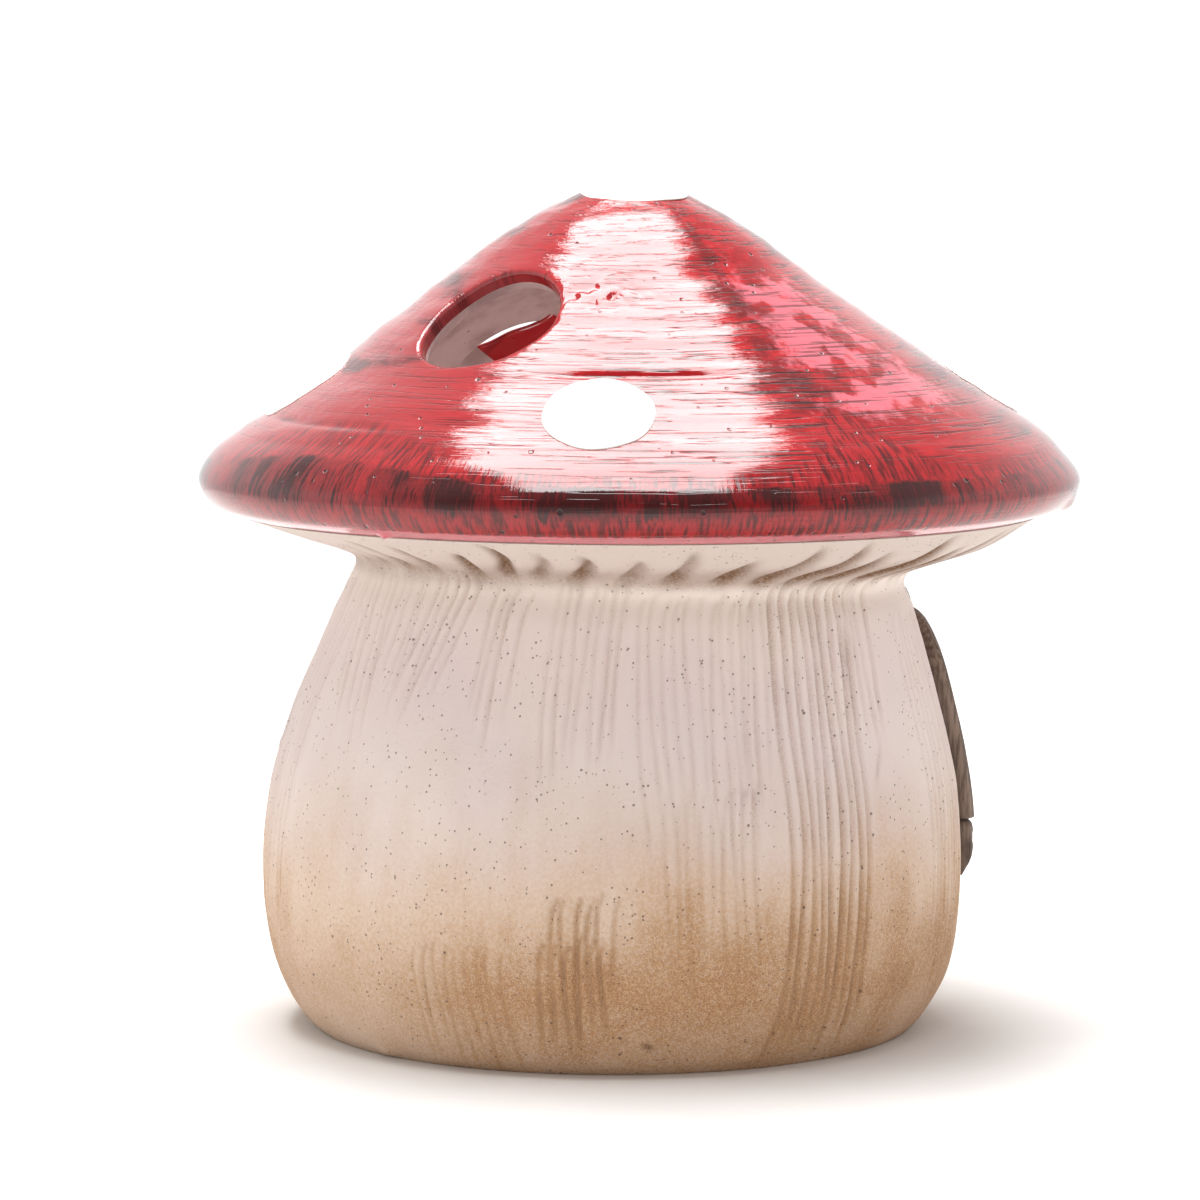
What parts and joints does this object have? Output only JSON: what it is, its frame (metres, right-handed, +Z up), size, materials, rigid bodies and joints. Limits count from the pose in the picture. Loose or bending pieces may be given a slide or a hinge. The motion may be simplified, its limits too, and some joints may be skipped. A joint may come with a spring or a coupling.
{
  "type": "toadstool house ornament",
  "caption": "Hollow toadstool house in fired clay: a bulging combed stem with an arched door in relief, under a glossy conical cap with round light holes and raised white spots.",
  "frame": {"origin": "on the axis of the cap's rim, level with the foot", "axes": "+Z up, -Y towards the side that the picture shows, +X towards the side with the door"},
  "size_m": [0.1598, 0.1598, 0.1539],
  "materials": {
    "cream_slip": "matt cream slip over combed clay, with a brown wash in the gills and at the foot",
    "red_glaze": "glossy red glaze, brushed on in rings",
    "white_glaze": "glossy white glaze",
    "wood_stain": "matt dark brown stain, streaked like wood",
    "iron_stain": "matt black-brown stain"
  },
  "bodies": {
    "root": {"stem": "cream_slip", "cap": "red_glaze", "apex_spot": "white_glaze", "front_spot": "white_glaze", "right_spot": "white_glaze", "left_spot": "white_glaze", "back_spot": "white_glaze", "door_panel": "wood_stain", "door_frame": "wood_stain", "doorstep": "wood_stain", "keystone": "wood_stain", "hinge_strap_upper": "iron_stain", "hinge_strap_lower": "iron_stain", "door_knob": "iron_stain"}
  },
  "joints": []
}
